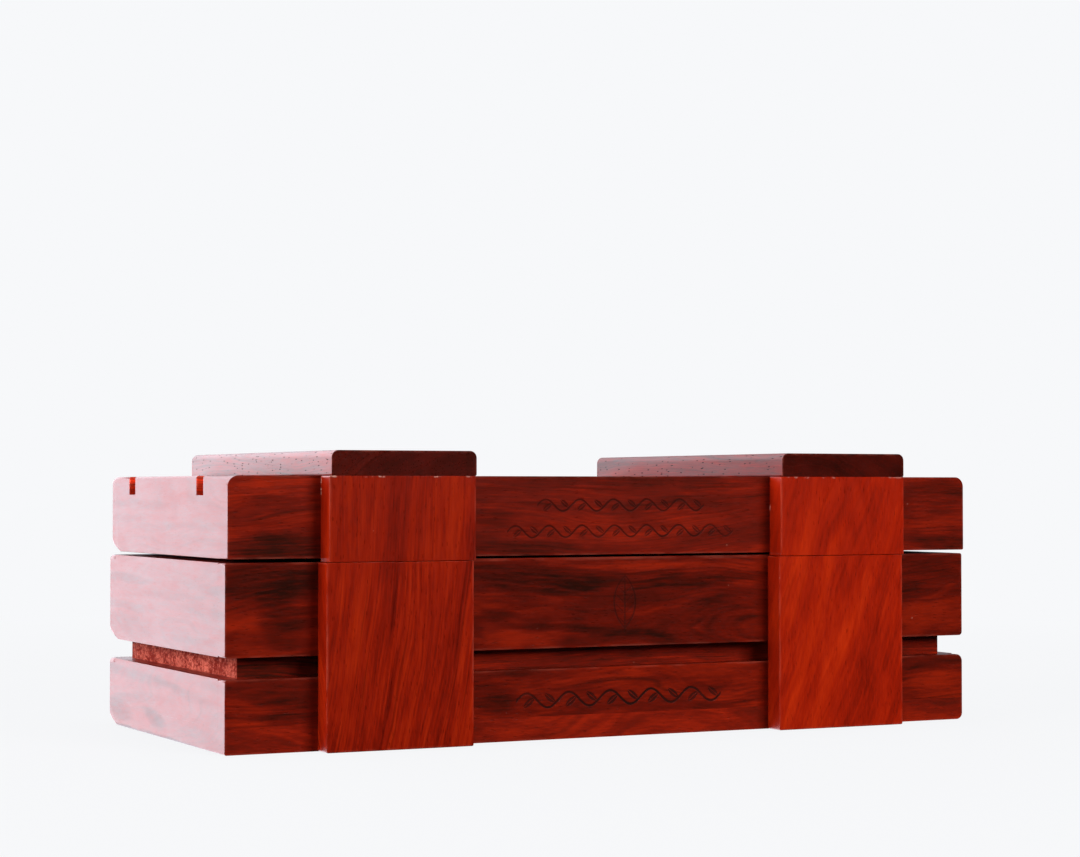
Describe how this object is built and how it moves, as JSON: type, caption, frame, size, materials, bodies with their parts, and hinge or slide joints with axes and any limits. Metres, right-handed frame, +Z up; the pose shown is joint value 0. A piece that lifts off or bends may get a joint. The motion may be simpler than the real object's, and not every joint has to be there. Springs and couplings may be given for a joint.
{
  "type": "eyeglasses display box",
  "caption": "Crate-style wooden display box with upright straps, an open groove, slotted lid boards, a rear-hinged lid and cross battens that hold a pair of eyeglasses.",
  "frame": {"origin": "centre of the flat underside, on the surface the box stands on", "axes": "+Z up, -Y towards the front (the side with the lid's free edge), +X to the right seen from the front"},
  "size_m": [0.1805, 0.0909, 0.0612],
  "materials": {
    "board_wood": "dark red-brown padauk boards, horizontal dark streaks, satin oil",
    "strap_wood": "brighter orange-red padauk straps, upright grain, satin oil",
    "batten_wood": "dark padauk battens with dark end grain and open pores, satin oil",
    "core_wood": "inner walls and lid panel, sawn end grain showing in the groove",
    "hinge_brass": "brushed brass, slightly tarnished",
    "screw_brass": "turned brass screw heads",
    "pin_steel": "drawn steel pin with peened ends",
    "magnet_nickel": "nickel-plated disc magnets",
    "lining_suede": "black microsuede over thin foam"
  },
  "bodies": {
    "body": {"base_board": "board_wood", "wall_front": "core_wood", "wall_back": "core_wood", "wall_left": "core_wood", "wall_right": "core_wood", "lower_board_front": "board_wood", "lower_board_back": "board_wood", "lower_board_left": "board_wood", "lower_board_right": "board_wood", "upper_board_front": "board_wood", "upper_board_back": "board_wood", "upper_board_left": "board_wood", "upper_board_right": "board_wood", "strap_front_left": "strap_wood", "strap_front_right": "strap_wood", "strap_back_left": "strap_wood", "strap_back_right": "strap_wood", "hinge_body_leaf_left": "hinge_brass", "hinge_body_leaf_right": "hinge_brass", "hinge_pin_left": "pin_steel", "hinge_pin_right": "pin_steel", "hinge_body_screws": "screw_brass", "body_magnets": "magnet_nickel", "floor_cushion": "lining_suede"},
    "lid": {"lid_panel": "core_wood", "lid_wall_front": "core_wood", "lid_wall_back": "core_wood", "lid_wall_left": "core_wood", "lid_wall_right": "core_wood", "lid_board_front": "board_wood", "lid_board_back": "board_wood", "lid_board_left": "board_wood", "lid_board_right": "board_wood", "lid_top_board_front": "board_wood", "lid_top_board_middle": "board_wood", "lid_top_board_back": "board_wood", "lid_strap_front_left": "strap_wood", "lid_strap_front_right": "strap_wood", "lid_strap_back_left": "strap_wood", "lid_strap_back_right": "strap_wood", "cross_batten_left": "batten_wood", "cross_batten_right": "batten_wood", "hinge_lid_leaf_left": "hinge_brass", "hinge_lid_leaf_right": "hinge_brass", "hinge_lid_screws": "screw_brass", "lid_magnets": "magnet_nickel", "lid_pad": "lining_suede"}
  },
  "joints": [
    {"name": "lid_hinge", "type": "hinge", "parent": "body", "child": "lid", "pos_m": [0, 0.0455, 0.03845], "axis": [-1, 0, 0], "range_deg": [0, 180]}
  ]
}
